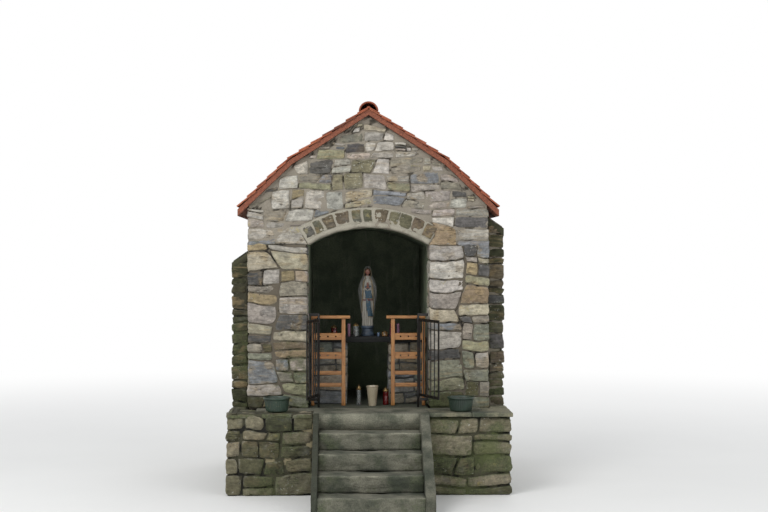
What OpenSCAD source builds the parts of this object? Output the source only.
// Wayside shrine of rubble stone with an arched niche, a kinked tile roof, a terrace and a stair.
// X runs to the right along the front, Y runs back into the niche and Z runs up from the ground.

/* [Terrace and stair] */
// Height of one step
riser = 170; // [150:5:190]
// Depth of one tread
going = 280; // [250:5:320]
// Clear width of the treads
tread_w = 1030; // [900:10:1150]
// Radius of the worn step edges
nosing_r = 18; // [8:1:25]
// Width of the left curb of the stair
curb_w = 60; // [50:5:80]
// Width of the sloping right cheek of the stair
cheek_w = 100; // [80:5:120]
// How far curb and cheek stand above the step edges
cheek_rise = 30; // [15:5:50]
// Overall width of the terrace
terrace_w = 2960; // [2860:10:3200]
// Depth of the landing in front of the facade
landing_depth = 500; // [460:10:700]
// Thickness of the front retaining walls
retaining_t = 300; // [240:10:340]
// Thickness of the concrete coping on the right retaining wall
coping_t = 45; // [30:5:70]
// How far the coping stands out over the wall face
coping_lip = 15; // [5:1:25]

/* [Walls] */
// Width of the facade
facade_w = 2586; // [2500:10:2700]
// Depth of the building from front to back
body_depth = 2400; // [2000:10:2800]
// Thickness of the front wall
front_t = 450; // [350:10:550]
// Thickness of the back wall
back_t = 350; // [250:10:450]
// Thickness of the part of the side walls that carries the eaves
eaves_wall_t = 220; // [180:10:300]
// Distance of the side wings behind the facade
wing_setback = 250; // [150:10:400]
// Thickness of the side wings from front to back
wing_t = 500; // [300:10:700]
// Height of the left wing above the landing
wing_h_left = 1670; // [1200:10:1900]
// Height of the right wing above the landing
wing_h_right = 2040; // [1200:10:2050]
// Drop of the weathered wing tops towards the outside
wing_fall = 130; // [60:10:200]

/* [Arch] */
// Width of the opening
opening_w = 1270; // [1200:10:1350]
// Height of the springing above the landing
spring_h = 1728; // [1600:4:1800]
// Rise of the arch
arch_rise = 185; // [150:5:210]
// Height of the arch ring with its soffit render
ring_t = 212; // [180:4:230]
// Thickness of the soffit render under the arch stones
soffit_t = 42; // [20:2:60]
// Number of arch stones
stone_count = 11; // [9:2:13]
// Width of the mortar joints between arch stones
joint_w = 26; // [12:2:36]
// How far the mortar lies behind the stone faces
joint_recess = 12; // [4:1:20]
// Thickness of the vault behind the front wall
vault_t = 170; // [120:10:210]

/* [Roof] */
// Height of the tile line at the ridge above the landing
ridge_h = 3211; // [3150:1:3300]
// Half distance between the two kinks of the roof
kink_x = 870; // [780:10:950]
// Fall of the upper roof slope for each unit of width
upper_fall = 0.646; // [0.6:0.01:0.7]
// Fall of the lower roof slope for each unit of width
lower_fall = 0.96; // [0.85:0.01:1.1]
// Distance of the tile eaves from the middle
eaves_x = 1400; // [1370:5:1440]
// Thickness of the clay tile layer
tile_t = 38; // [30:1:60]
// Thickness of the roof deck
deck_t = 50; // [40:5:80]
// How far the tiles stand out over the front and back walls
verge = 45; // [35:1:80]
// How far the deck ends behind the tile edges
deck_inset = 15; // [5:1:25]
// Outer radius of the ridge tiles
ridge_r = 105; // [85:5:130]
// Thickness of the ridge tiles
ridge_t = 16; // [12:1:22]
// Number of ridge tiles
ridge_count = 6; // [4:1:8]
// Gap between two ridge tiles
ridge_gap = 6; // [3:1:10]

/* [Altar] */
// Height of the altar above the floor
altar_h = 730; // [700:5:760]
// Distance of the altar front behind the facade
altar_y = 370; // [360:5:450]
// Depth of the altar slab
altar_d = 650; // [600:10:700]
// Thickness of the altar slab
altar_slab_t = 60; // [50:5:80]
// Clear width between the altar piers
altar_gap = 430; // [400:10:500]
// How far the altar piers stand behind the slab edge
altar_pier_inset = 25; // [10:5:40]

/* [Statue] */
// Height of the figure without its base
figure_h = 660; // [600:10:700]
// Height of the statue base
base_h = 110; // [90:5:130]
// Largest radius of the statue base
base_r = 74; // [72:1:90]
// Distance of the statue behind the altar front
statue_back = 250; // [200:10:300]

/* [Timber frames] */
// Distance of the timber frames behind the facade
frame_y = 230; // [210:5:250]
// Thickness of the frame timbers from front to back
frame_t = 45; // [35:1:50]
// Distance of the inner frame edge from the middle
frame_inner_x = 245; // [235:5:260]
// Gap between the outer frame post and the niche wall
frame_wall_gap = 20; // [12:1:30]
// Width of the inner frame post
inner_post_w = 42; // [36:1:50]
// Width of the outer frame post
outer_post_w = 34; // [28:1:40]
// Overhang of the top board past the inner post
board_lip = 50; // [20:5:60]
// Height of the top of the top board
board_h = 969; // [940:1:990]
// Thickness of the top board
board_t = 32; // [24:1:40]
// Depth of the top board
board_d = 90; // [70:5:110]
// Diameter of the holes in the wide rails
rail_hole_d = 17; // [12:1:22]
// Distance between the holes in the wide rails
rail_hole_pitch = 85; // [75:1:90]

/* [Gates] */
// Distance of the hinge posts from the middle
post_x = 530; // [520:1:540]
// Distance of the hinge posts behind the facade
post_y = 60; // [50:1:80]
// Diameter of the hinge posts
post_d = 24; // [20:1:26]
// Height of the hinge posts
post_h = 1000; // [980:1:1020]
// Length of a gate leaf from its hinge axis
leaf_w = 512; // [490:1:518]
// Height of the lower leaf edge above the landing
leaf_low = 122; // [110:1:140]
// Height of the upper leaf edge above the landing
leaf_top = 945; // [900:1:960]
// Depth of the flat bars of the leaf rails
rail_bar_h = 30; // [25:1:36]
// Thickness of the flat bars of gate and ties
flat_t = 10; // [8:1:12]
// Width of the end bars of the leaf
stile_w = 24; // [20:1:30]
// Diameter of the upright round bars
bar_d = 12; // [10:1:14]
// Number of upright round bars in a leaf
bar_count = 4; // [3:1:5]
// Outer diameter of the hinge sleeves
sleeve_d = 38; // [36:1:42]
// Height of the hinge sleeves
sleeve_h = 46; // [40:1:56]
// Play of the sleeves on the hinge posts
hinge_play = 0.5; // [0.3:0.1:1]
// Angle of the left leaf from its closed place
left_open = 103; // [95:1:115]
// Angle of the right leaf from its closed place
right_open = 112; // [95:1:115]

/* [Things in the shrine] */
// Diameter of a planting bowl at the rim
bowl_d = 285; // [260:5:300]
// Height of a planting bowl
bowl_h = 150; // [130:5:170]
// Wall thickness of a planting bowl
bowl_t = 9; // [6:1:12]
// Distance of the bowls from the middle
bowl_x = 955; // [940:5:1000]
// Distance of the bowls in front of the facade
bowl_y = 330; // [300:5:340]
// Diameter of the vase at the rim
vase_d = 130; // [110:5:140]
// Height of the vase
vase_h = 215; // [190:5:230]
// Wall thickness of the vase
vase_t = 6; // [4:1:8]
// Distance of the vase from the middle
vase_x = 45; // [0:1:60]

/* [Candles and lanterns] */
// Distance of the row on the altar behind the altar front
lantern_back = 120; // [90:5:140]
// Diameter of the lanterns
lantern_d = 70; // [64:1:76]
// Diameter of the slim candles
candle_d = 30; // [24:1:36]
// Height of the slim candles
candle_h = 150; // [120:5:180]
// Height of the low red lantern on the altar
low_lantern_h = 130; // [110:5:150]
// Height of the clear lantern on the altar
clear_lantern_h = 152; // [130:1:170]
// Height of the tall lantern on the altar
tall_lantern_h = 192; // [170:1:210]
// Height of the small gilt box on the altar
gilt_h = 62; // [50:1:75]
// Height of the small glass on the altar
glass_h = 42; // [36:1:56]
// Height of the red lantern on the floor
floor_lantern_h = 195; // [170:5:220]
// Height of the slim glass on the floor
floor_glass_h = 220; // [180:5:240]
// Place of the low red lantern
low_lantern_x = -370; // [-400:1:-350]
// Place of the left slim candle
left_candle_x = -206; // [-230:1:-195]
// Place of the clear lantern
clear_lantern_x = -130; // [-140:1:-120]
// Place of the small glass
glass_x = 118; // [110:1:125]
// Place of the gilt box
gilt_x = 186; // [180:1:195]
// Place of the tall lantern
tall_lantern_x = 274; // [265:1:285]
// Place of the right slim candle
right_candle_x = 334; // [326:1:360]
// Place of the red lantern on the floor
floor_lantern_x = 192; // [170:1:198]
// Place of the slim glass on the floor
floor_glass_x = -99; // [-130:1:-80]

/* [Hidden] */
$fn = 64;

// Number of sides of the full circle of the arch.
arc_sides = 360;
// Space left between curved faces that bear on each other.
seat = 0.3;
// Number of treads below the landing, one for each step piece.
tread_count = 4;
landing_z = riser * (tread_count + 1);
core_top = landing_z - riser;
half_terrace = terrace_w / 2;
half_facade = facade_w / 2;
half_opening = opening_w / 2;
stair_left = -tread_w / 2 - curb_w;
stair_right = tread_w / 2 + cheek_w;
stair_front = -landing_depth - tread_count * going;
return_inner = half_terrace - retaining_t;
retaining_back = -landing_depth + retaining_t;
niche_back = body_depth - back_t;
side_t = half_facade - half_opening;
fall_line = riser / going;

spring_z = landing_z + spring_h;
arch_r = (half_opening * half_opening + arch_rise * arch_rise) / (2 * arch_rise);
arch_z = spring_z + arch_rise - arch_r;
arch_half = asin(half_opening / arch_r);
ring_r = arch_r + ring_t;
bed_r = arch_r + soffit_t;
skew_x = ring_r * sin(arch_half);
skew_z = arch_z + ring_r * cos(arch_half);
joint_angle = joint_w / (ring_r - ring_t / 2) * 180 / PI;
stone_angle = (2 * arch_half - (stone_count + 1) * joint_angle) / stone_count;
// Angle at which arch and vault end, just short of their slanted seats.
seat_half = arch_half - seat / ring_r * 180 / PI;

ridge_z = landing_z + ridge_h;
upper_c = sqrt(1 + upper_fall * upper_fall);
lower_c = sqrt(1 + lower_fall * lower_fall);

// Place of the roof kink on the line that lies a depth t below the tile tops.
function kink_at(t) = kink_x - t * (lower_c - upper_c) / (lower_fall - upper_fall);

// Height of the line that lies a depth t below the tile tops, at the distance x from the middle.
function roof_z(t, x) = x < kink_at(t)
    ? ridge_z - t * upper_c - upper_fall * x
    : ridge_z - upper_fall * kink_x - t * lower_c - lower_fall * (x - kink_x);

deck_top = tile_t;
wall_top = tile_t + deck_t;
deck_eaves = eaves_x - deck_inset;
eaves_inner = half_facade - eaves_wall_t;
roof_front = -verge;
roof_back = body_depth + verge;

sleeve_low = leaf_low + rail_bar_h / 2 - sleeve_h / 2;
sleeve_high = leaf_top - rail_bar_h / 2 - sleeve_h / 2;
collar_h = 10;
collar_d = sleeve_d;
tie_gap = 5;
stile_x = sleeve_d / 2 + tie_gap;
tie_l = half_opening - post_x;
tie_low = sleeve_low - collar_h - rail_bar_h - tie_gap;

altar_top = landing_z + altar_h;
floor_glass_slim = 0.74;
vase_y = frame_y - 10;
vase_foot = 0.62;
frame_outer_x = half_opening - frame_wall_gap;
wide_rail_h = 74;
narrow_rail_h = 42;
wide_rails = [501, 706];
narrow_rails = [201, 330];
rail_t = 24;

place_y = -(roof_back + stair_front) / 2;

// Puts a piece that is drawn from the facade line into the frame of the whole shrine.
module place() {
    translate([0, place_y, 0])
        children();
}

// Extrudes an outline in X and Z backwards from y0 to y1.
module run_back(y0, y1) {
    translate([0, y1, 0])
        rotate([90, 0, 0])
            linear_extrude(y1 - y0)
                children();
}

// Extrudes an outline in Y and Z to the right from x0 to x1.
module run_right(x0, x1) {
    translate([x0, 0, 0])
        rotate([90, 0, 90])
            linear_extrude(x1 - x0)
                children();
}

// Solid through stacked elliptic rings, each given as [z, half width, half depth, middle y, fold depth].
module loft(rings, sides, folds) {
    points = [
        for (r = rings)
            for (i = [0 : sides - 1])
                let (a = 360 * i / sides, k = 1 + r[4] * cos(folds * a))
                    [r[1] * k * cos(a), r[3] + r[2] * k * sin(a), r[0]]
    ];
    last = (len(rings) - 1) * sides;
    faces = concat(
        [[for (i = [0 : sides - 1]) i]],
        [[for (i = [sides - 1 : -1 : 0]) last + i]],
        [
            for (k = [0 : len(rings) - 2])
                for (i = [0 : sides - 1])
                    let (j = (i + 1) % sides)
                        [k * sides + i, (k + 1) * sides + i, (k + 1) * sides + j, k * sides + j]
        ]
    );
    polyhedron(points, faces);
}

module core_plan() {
    polygon([
        [stair_left, -landing_depth], [stair_right, -landing_depth], [stair_right, retaining_back],
        [return_inner, retaining_back], [return_inner, 0], [half_opening, 0], [half_opening, niche_back],
        [-half_opening, niche_back], [-half_opening, 0], [-return_inner, 0],
        [-return_inner, retaining_back], [stair_left, retaining_back]
    ]);
}

module terrace_core() {
    color("dimgray") place()
        linear_extrude(core_top)
            core_plan();
}

module landing_slab() {
    color("darkseagreen") place()
        translate([0, 0, core_top])
            linear_extrude(landing_z - core_top)
                polygon([
                    [stair_left, -landing_depth], [stair_right, -landing_depth],
                    [stair_right, retaining_back], [return_inner, retaining_back],
                    [return_inner, 0], [-return_inner, 0],
                    [-return_inner, retaining_back], [stair_left, retaining_back]
                ]);
}

// Plan of a retaining wall with its return beside the pier, for the side on the right.
module retaining_plan(inner_x, lip) {
    polygon([
        [inner_x, -landing_depth - lip], [half_terrace, -landing_depth - lip],
        [half_terrace, wing_setback], [half_facade, wing_setback], [half_facade, 0],
        [return_inner, 0], [return_inner, retaining_back], [inner_x, retaining_back]
    ]);
}

module retaining_wall_left() {
    color("olivedrab") place()
        mirror([1, 0, 0])
            linear_extrude(landing_z)
                retaining_plan(-stair_left, 0);
}

module retaining_wall_right() {
    color("olivedrab") place()
        linear_extrude(landing_z - coping_t)
            retaining_plan(stair_right, 0);
}

module coping_right() {
    color("darkgray") place()
        translate([0, 0, landing_z - coping_t])
            linear_extrude(coping_t)
                retaining_plan(stair_right, coping_lip);
}

// Side view of the curb or cheek that follows the line of the step edges.
module stair_side(x0, x1) {
    run_right(x0, x1)
        polygon([
            [stair_front, 0], [-landing_depth, 0], [-landing_depth, landing_z],
            [-landing_depth - cheek_rise / fall_line, landing_z], [stair_front, riser + cheek_rise]
        ]);
}

module stair_curb_left() {
    color("gray") place()
        difference() {
            stair_side(stair_left, stair_left + curb_w);
            coping_notch();
        }
}

module stair_cheek_right() {
    color("gray") place()
        difference() {
            stair_side(stair_right - cheek_w, stair_right);
            coping_notch();
        }
}

// Room for the coping lip, where the cheek meets the right retaining wall.
module coping_notch() {
    translate([stair_right, -landing_depth - coping_lip, landing_z - coping_t])
        cube([1, coping_lip, coping_t]);
}

// One step with a rounded front edge, cast over the ones below.
module step(number) {
    front = stair_front + (number - 1) * going;
    z0 = (number - 1) * riser;
    color("darkolivegreen") place()
        run_right(-tread_w / 2, tread_w / 2)
            union() {
                translate([front, z0])
                    square([-landing_depth - front, riser - nosing_r]);
                translate([front + nosing_r, z0])
                    square([-landing_depth - front - nosing_r, riser]);
                translate([front + nosing_r, z0 + riser - nosing_r])
                    circle(nosing_r);
            }
}

// Side view of a wall that carries the arch or vault on its slanted seat.
module pier_face() {
    polygon([
        [half_opening, 0], [half_facade, 0], [half_facade, skew_z], [skew_x, skew_z],
        [half_opening, spring_z]
    ]);
}

module front_pier_right() {
    color("lightgray") place()
        run_back(0, front_t)
            pier_face();
}

module front_pier_left() {
    color("lightgray") place()
        mirror([1, 0, 0])
            run_back(0, front_t)
                pier_face();
}

// Part of a ring round the arch centre, from angle a0 to a1 right of the crown.
module ring_part(r0, r1, a0, a1, y0, y1) {
    translate([0, y1, arch_z])
        rotate([90, 0, 0])
            rotate([0, 0, 90 - a1])
                rotate_extrude(angle = a1 - a0, $fn = arc_sides)
                    translate([r0, 0])
                        square([r1 - r0, y1 - y0]);
}

// Angle at which an arch stone starts, counted from the crown.
function stone_start(number) = -arch_half + joint_angle + number * (stone_angle + joint_angle);

module arch_stones() {
    color("peru") place()
        for (i = [0 : stone_count - 1])
            ring_part(bed_r + seat, ring_r, stone_start(i), stone_start(i) + stone_angle, 0, front_t);
}

// Soffit render with the joints that stand up between the arch stones.
module arch_mortar() {
    cut_past = 5;
    color("silver") place()
        difference() {
            ring_part(arch_r, ring_r, -seat_half, seat_half, joint_recess, front_t);
            for (i = [0 : stone_count - 1])
                ring_part(
                    bed_r, ring_r + cut_past, stone_start(i), stone_start(i) + stone_angle,
                    joint_recess - cut_past, front_t + cut_past
                );
        }
}

// Outline of a gable from the height z0 up to the underside of the deck.
module gable_face(z0) {
    polygon([
        [-half_facade, z0], [half_facade, z0], [half_facade, roof_z(wall_top, half_facade)],
        [kink_at(wall_top), roof_z(wall_top, kink_at(wall_top))], [0, roof_z(wall_top, 0)],
        [-kink_at(wall_top), roof_z(wall_top, kink_at(wall_top))],
        [-half_facade, roof_z(wall_top, half_facade)]
    ]);
}

module gable_front() {
    color("lightgray") place()
        difference() {
            run_back(0, front_t)
                gable_face(skew_z);
            translate([0, front_t + 1, arch_z])
                rotate([90, 0, 0])
                    cylinder(r = ring_r + seat, h = front_t + 2, $fn = arc_sides);
        }
}

module back_wall() {
    color("lightgray") place()
        run_back(niche_back, body_depth)
            gable_face(0);
}

module side_wall_face() {
    polygon([
        [half_opening, 0], [half_facade, 0], [half_facade, roof_z(wall_top, half_facade)],
        [eaves_inner, roof_z(wall_top, eaves_inner)], [eaves_inner, skew_z], [skew_x, skew_z],
        [half_opening, spring_z]
    ]);
}

module side_wall_right() {
    color("lightgray") place()
        run_back(front_t, niche_back)
            side_wall_face();
}

module side_wall_left() {
    color("lightgray") place()
        mirror([1, 0, 0])
            run_back(front_t, niche_back)
                side_wall_face();
}

module vault() {
    color("darkslategray") place()
        ring_part(arch_r, arch_r + vault_t, -seat_half, seat_half, front_t + seat, niche_back);
}

module niche_floor() {
    color("darkseagreen") place()
        translate([-half_opening, 0, core_top])
            cube([opening_w, niche_back, landing_z - core_top]);
}

// Set-back wing beside the building, with a top that falls outwards.
module wing(height) {
    run_back(wing_setback, wing_setback + wing_t)
        polygon([
            [half_facade, 0], [half_terrace, 0], [half_terrace, landing_z + height - wing_fall],
            [half_facade, landing_z + height]
        ]);
}

module wing_left() {
    color("darkkhaki") place()
        mirror([1, 0, 0])
            wing(wing_h_left);
}

module wing_right() {
    color("darkkhaki") place()
        wing(wing_h_right);
}

// Right half of a roof layer between two depths below the tile tops.
module roof_layer(top, bottom, edge_x) {
    polygon([
        [0, roof_z(bottom, 0)], [kink_at(bottom), roof_z(bottom, kink_at(bottom))],
        [edge_x, roof_z(bottom, edge_x)], [edge_x, roof_z(top, edge_x)],
        [kink_at(top), roof_z(top, kink_at(top))], [0, roof_z(top, 0)]
    ]);
}

module roof_deck_right() {
    color("saddlebrown") place()
        run_back(roof_front + deck_inset, roof_back - deck_inset)
            roof_layer(deck_top, wall_top, deck_eaves);
}

module roof_deck_left() {
    color("saddlebrown") place()
        mirror([1, 0, 0])
            run_back(roof_front + deck_inset, roof_back - deck_inset)
                roof_layer(deck_top, wall_top, deck_eaves);
}

module roof_tiles_right() {
    color("indianred") place()
        run_back(roof_front, roof_back)
            roof_layer(0, deck_top, eaves_x);
}

module roof_tiles_left() {
    color("indianred") place()
        mirror([1, 0, 0])
            run_back(roof_front, roof_back)
                roof_layer(0, deck_top, eaves_x);
}

module ridge_tiles() {
    pitch = (roof_back - roof_front + ridge_gap) / ridge_count;
    cap_z = ridge_z - upper_fall * ridge_r;
    color("firebrick") place()
        for (i = [0 : ridge_count - 1])
            difference() {
                translate([0, roof_front + (i + 1) * pitch - ridge_gap, cap_z])
                    rotate([90, 0, 0])
                        cylinder(r = ridge_r, h = pitch - ridge_gap);
                translate([0, roof_back + 1, cap_z])
                    rotate([90, 0, 0])
                        cylinder(r = ridge_r - ridge_t, h = roof_back - roof_front + 2);
                run_back(roof_front - 1, roof_back + 1)
                    polygon([
                        [-2 * ridge_r, ridge_z - ridge_r * 3], [2 * ridge_r, ridge_z - ridge_r * 3],
                        [2 * ridge_r, ridge_z + seat - upper_fall * 2 * ridge_r], [0, ridge_z + seat],
                        [-2 * ridge_r, ridge_z + seat - upper_fall * 2 * ridge_r]
                    ]);
            }
}

// Altar pier on the right, built against the niche wall.
module altar_pier() {
    translate([altar_gap / 2, altar_y + altar_pier_inset, landing_z])
        cube([
            half_opening - altar_gap / 2, altar_d - 2 * altar_pier_inset, altar_h - altar_slab_t
        ]);
}

module altar_pier_right() {
    color("slategray") place()
        altar_pier();
}

module altar_pier_left() {
    color("slategray") place()
        mirror([1, 0, 0])
            altar_pier();
}

module altar_slab() {
    color("darkslategray") place()
        translate([-half_opening, altar_y, altar_top - altar_slab_t])
            cube([opening_w, altar_d, altar_slab_t]);
}

// Round base with a foot, a hollow throat and a top plate.
module statue_base() {
    color("lightsteelblue") place()
        translate([0, altar_y + statue_back, altar_top])
            rotate_extrude()
                polygon([
                    [0, 0], [base_r, 0], [base_r, base_h * 0.22], [base_r * 0.86, base_h * 0.34],
                    [base_r * 0.82, base_h * 0.7], [base_r * 0.94, base_h * 0.82], [base_r * 0.94, base_h],
                    [0, base_h]
                ]);
}

// Robed standing figure with a veil over head and shoulders and joined hands.
module statue() {
    h = figure_h;
    color("ivory") place()
        translate([0, altar_y + statue_back, altar_top + base_h])
            union() {
                loft([
                    [0, 0.100 * h, 0.090 * h, 0, 0.05], [0.10 * h, 0.104 * h, 0.092 * h, 0, 0.05],
                    [0.25 * h, 0.118 * h, 0.096 * h, 0, 0.045], [0.40 * h, 0.140 * h, 0.104 * h, 0, 0.035],
                    [0.52 * h, 0.158 * h, 0.108 * h, 0, 0.03], [0.60 * h, 0.160 * h, 0.106 * h, 0, 0.02],
                    [0.70 * h, 0.142 * h, 0.096 * h, 0, 0.015], [0.78 * h, 0.112 * h, 0.082 * h, 0, 0.01],
                    [0.84 * h, 0.078 * h, 0.074 * h, 0.004 * h, 0], [0.90 * h, 0.068 * h, 0.072 * h, 0.006 * h, 0],
                    [0.95 * h, 0.060 * h, 0.064 * h, 0.008 * h, 0], [0.98 * h, 0.044 * h, 0.048 * h, 0.010 * h, 0],
                    [h, 0.018 * h, 0.020 * h, 0.012 * h, 0]
                ], 48, 12);
                hull() {
                    translate([0, -0.085 * h, 0.655 * h])
                        sphere(0.028 * h, $fn = 20);
                    translate([0, -0.120 * h, 0.745 * h])
                        sphere(0.012 * h, $fn = 20);
                }
            }
}

// Timber frame on the right: two posts, a top board and four rails, two of them with holes.
module timber_frame() {
    rail_x0 = frame_inner_x + inner_post_w;
    rail_x1 = frame_outer_x - outer_post_w;
    mid_y = frame_y + frame_t / 2;
    translate([0, 0, landing_z]) {
        translate([frame_inner_x, frame_y, 0])
            cube([inner_post_w, frame_t, board_h - board_t]);
        translate([rail_x1, frame_y, 0])
            cube([outer_post_w, frame_t, board_h - board_t]);
        translate([frame_inner_x - board_lip, mid_y - board_d / 2, board_h - board_t])
            cube([frame_outer_x - frame_inner_x + board_lip, board_d, board_t]);
        for (z = narrow_rails)
            translate([rail_x0, mid_y - rail_t / 2, z])
                cube([rail_x1 - rail_x0, rail_t, narrow_rail_h]);
        for (z = wide_rails)
            difference() {
                translate([rail_x0, mid_y - rail_t / 2, z])
                    cube([rail_x1 - rail_x0, rail_t, wide_rail_h]);
                for (i = [-1 : 1])
                    translate([
                        (rail_x0 + rail_x1) / 2 + i * rail_hole_pitch, mid_y + rail_t, z + wide_rail_h / 2
                    ])
                        rotate([90, 0, 0])
                            cylinder(d = rail_hole_d, h = 2 * rail_t, $fn = 32);
            }
    }
}

module timber_frame_right() {
    color("sandybrown") place()
        timber_frame();
}

module timber_frame_left() {
    color("sandybrown") place()
        mirror([1, 0, 0])
            timber_frame();
}

// Hinge post on the right, with the collars under the sleeves and the ties to the wall.
module gate_post() {
    translate([post_x, post_y, landing_z]) {
        cylinder(d = post_d, h = post_h);
        for (z = [sleeve_low, sleeve_high])
            translate([0, 0, z - seat - collar_h])
                cylinder(d = collar_d, h = collar_h);
        for (z = [tie_low, post_h - rail_bar_h])
            translate([0, -flat_t / 2, z])
                cube([tie_l, flat_t, rail_bar_h]);
    }
}

module gate_post_right() {
    color("dimgray") place()
        gate_post();
}

module gate_post_left() {
    color("dimgray") place()
        mirror([1, 0, 0])
            gate_post();
}

// Gate leaf that runs from the hinge axis along +X, with sleeves, rails, end bars and round bars.
module gate_leaf() {
    bar_space = (leaf_w - stile_w - stile_x - stile_w) / (bar_count + 1);
    difference() {
        union() {
            for (z = [sleeve_low, sleeve_high])
                translate([0, 0, z])
                    cylinder(d = sleeve_d, h = sleeve_h);
            for (z = [leaf_low, leaf_top - rail_bar_h])
                translate([0, -flat_t / 2, z])
                    cube([leaf_w, flat_t, rail_bar_h]);
            for (x = [stile_x, leaf_w - stile_w])
                translate([x, -flat_t / 2, leaf_low])
                    cube([stile_w, flat_t, leaf_top - leaf_low]);
            for (i = [1 : bar_count])
                translate([stile_x + stile_w + i * bar_space, 0, leaf_low + rail_bar_h / 2])
                    cylinder(d = bar_d, h = leaf_top - leaf_low - rail_bar_h, $fn = 24);
        }
        cylinder(d = post_d + 2 * hinge_play, h = post_h);
    }
}

module gate_leaf_right() {
    color("black") place()
        translate([post_x, post_y, landing_z])
            rotate([0, 0, 180 + right_open])
                gate_leaf();
}

module gate_leaf_left() {
    color("black") place()
        translate([-post_x, post_y, landing_z])
            rotate([0, 0, -left_open])
                gate_leaf();
}

// Upright grave lantern: a glass body with a waist and a metal lid with a knob.
module lantern(d, h) {
    r = d / 2;
    rotate_extrude()
        polygon([
            [0, 0], [r * 0.92, 0], [r, h * 0.04], [r * 0.96, h * 0.4], [r * 0.88, h * 0.5],
            [r * 0.94, h * 0.72], [r * 0.94, h * 0.76], [r, h * 0.77], [r, h * 0.81],
            [r * 0.5, h * 0.92], [r * 0.14, h * 0.94], [r * 0.14, h], [0, h]
        ]);
}

// Plain cylindrical candle with a rounded shoulder.
module candle(d, h) {
    r = d / 2;
    rotate_extrude()
        polygon([[0, 0], [r, 0], [r, h * 0.95], [r * 0.85, h], [0, h]]);
}

module altar_lanterns() {
    color("crimson") place()
        translate([0, altar_y + lantern_back, altar_top]) {
            translate([low_lantern_x, 0, 0])
                lantern(lantern_d, low_lantern_h);
            translate([left_candle_x, 0, 0])
                candle(candle_d, candle_h);
            translate([clear_lantern_x, 0, 0])
                lantern(lantern_d, clear_lantern_h);
            translate([glass_x, 0, 0])
                candle(candle_d, glass_h);
            translate([gilt_x, 0, 0])
                lantern(lantern_d, gilt_h);
            translate([tall_lantern_x, 0, 0])
                lantern(lantern_d, tall_lantern_h);
            translate([right_candle_x, 0, 0])
                candle(candle_d, candle_h);
        }
}

module floor_lanterns() {
    color("crimson") place()
        translate([0, frame_y + frame_t + lantern_d / 2, landing_z]) {
            translate([floor_lantern_x, 0, 0])
                lantern(lantern_d, floor_lantern_h);
            translate([floor_glass_x, 0, 0])
                lantern(lantern_d * floor_glass_slim, floor_glass_h);
        }
}

// Tapered vase with a closed bottom.
module vase() {
    r = vase_d / 2;
    foot = r * vase_foot;
    floor_t = 1.6 * vase_t;
    color("wheat") place()
        translate([vase_x, vase_y, landing_z])
            rotate_extrude()
                polygon([
                    [0, 0], [foot, 0], [r, vase_h], [r - vase_t, vase_h],
                    [foot - vase_t, floor_t], [0, floor_t]
                ]);
}

// Round planting bowl with slightly tapered sides, a rounded foot and a broad rim.
module bowl() {
    r = bowl_d / 2;
    rotate_extrude()
        polygon([
            [0, 0], [r * 0.70, 0], [r * 0.78, bowl_h * 0.05], [r * 0.81, bowl_h * 0.14],
            [r * 0.91, bowl_h * 0.84], [r, bowl_h * 0.87], [r, bowl_h],
            [r - bowl_t * 1.3, bowl_h], [r * 0.91 - bowl_t, bowl_h * 0.82],
            [r * 0.81 - bowl_t, bowl_h * 0.18], [r * 0.72 - bowl_t, bowl_h * 0.1],
            [0, bowl_h * 0.1]
        ]);
}

module bowl_right() {
    color("seagreen") place()
        translate([bowl_x, -bowl_y, landing_z])
            bowl();
}

module bowl_left() {
    color("seagreen") place()
        translate([-bowl_x, -bowl_y, landing_z])
            bowl();
}

terrace_core();
landing_slab();
retaining_wall_left();
retaining_wall_right();
coping_right();
stair_curb_left();
stair_cheek_right();
step(1);  // step_1
step(2);  // step_2
step(3);  // step_3
step(4);  // step_4
front_pier_left();
front_pier_right();
arch_stones();
arch_mortar();
gable_front();
side_wall_left();
side_wall_right();
back_wall();
vault();
niche_floor();
wing_left();
wing_right();
roof_deck_left();
roof_deck_right();
roof_tiles_left();
roof_tiles_right();
ridge_tiles();
altar_pier_left();
altar_pier_right();
altar_slab();
statue_base();
statue();
timber_frame_left();
timber_frame_right();
gate_post_left();
gate_post_right();
gate_leaf_left();
gate_leaf_right();
altar_lanterns();
floor_lanterns();
vase();
bowl_left();
bowl_right();
